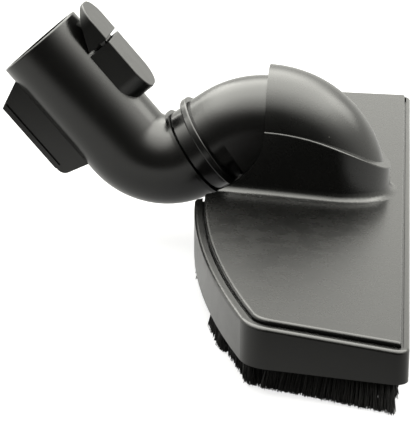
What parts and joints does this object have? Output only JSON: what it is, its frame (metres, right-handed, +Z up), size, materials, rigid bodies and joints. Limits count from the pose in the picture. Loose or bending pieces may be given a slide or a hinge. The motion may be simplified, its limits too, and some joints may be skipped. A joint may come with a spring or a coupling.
{
  "type": "vacuum floor brush head",
  "caption": "Wide low floor brush head with bristle strips under its edge, a domed hood, a tilting and swivelling neck with a wand socket, a thumb lock and a parking rail.",
  "frame": {"origin": "on the floor, under the tilt axis, in the plane of symmetry", "axes": "+Z up, +X towards the front edge of the plate, +Y along the plate"},
  "size_m": [0.194, 0.398, 0.1127],
  "materials": {
    "shell_plastic": "satin",
    "cover_plastic": "fine grain, satin",
    "drum_plastic": "satin",
    "ring_plastic": "polished",
    "neck_plastic": "satin",
    "lock_plastic": "fine grain, satin",
    "bar_plastic": "matte",
    "bristle_fibre": "matte fibre",
    "seal_rubber": "matte",
    "spacer_plastic": "matte",
    "steel": "zinc plated"
  },
  "bodies": {
    "head": {"base_shell": "shell_plastic", "top_cover": "cover_plastic", "cover_screws": "steel", "hood_seal": "seal_rubber", "hinge_pin_left": "steel", "hinge_pin_right": "steel", "tilt_spacer_left": "spacer_plastic", "tilt_spacer_right": "spacer_plastic", "front_bar": "bar_plastic", "end_left_bar": "bar_plastic", "end_right_bar": "bar_plastic", "rear_outer_left_bar": "bar_plastic", "rear_outer_right_bar": "bar_plastic", "rear_corner_left_bar": "bar_plastic", "rear_corner_right_bar": "bar_plastic", "rear_inner_left_bar": "bar_plastic", "rear_inner_right_bar": "bar_plastic", "front_bristles": "bristle_fibre", "end_left_bristles": "bristle_fibre", "end_right_bristles": "bristle_fibre", "rear_outer_left_bristles": "bristle_fibre", "rear_outer_right_bristles": "bristle_fibre", "rear_corner_left_bristles": "bristle_fibre", "rear_corner_right_bristles": "bristle_fibre", "rear_inner_left_bristles": "bristle_fibre", "rear_inner_right_bristles": "bristle_fibre"},
    "drum": {"drum_elbow": "drum_plastic", "collar_ring": "ring_plastic", "swivel_seal": "seal_rubber"},
    "neck": {"neck_spigot": "neck_plastic", "neck_elbow": "neck_plastic", "neck_socket": "neck_plastic", "lock_cover": "lock_plastic", "lock_pin": "steel", "lock_spring": "steel"},
    "lock": {"lock_button": "lock_plastic"}
  },
  "joints": [
    {"name": "neck_tilt", "type": "hinge", "parent": "head", "child": "drum", "pos_m": [0, 0, 0.0272], "axis": [0, 1, 0], "range_deg": [0, 40]},
    {"name": "neck_swivel", "type": "hinge", "parent": "drum", "child": "neck", "pos_m": [-0.03275, 0, 0.04263], "axis": [-0.8231, 0, -0.5678], "range_deg": [-80, 80]},
    {"name": "lock_press", "type": "hinge", "parent": "neck", "child": "lock", "pos_m": [-0.07587, 0, 0.09492], "axis": [0, -1, 0], "range_deg": [0, 7], "stiffness_Nm_per_rad": 0.3, "springref_deg": -5.73, "deforming": ["lock_spring"]}
  ]
}
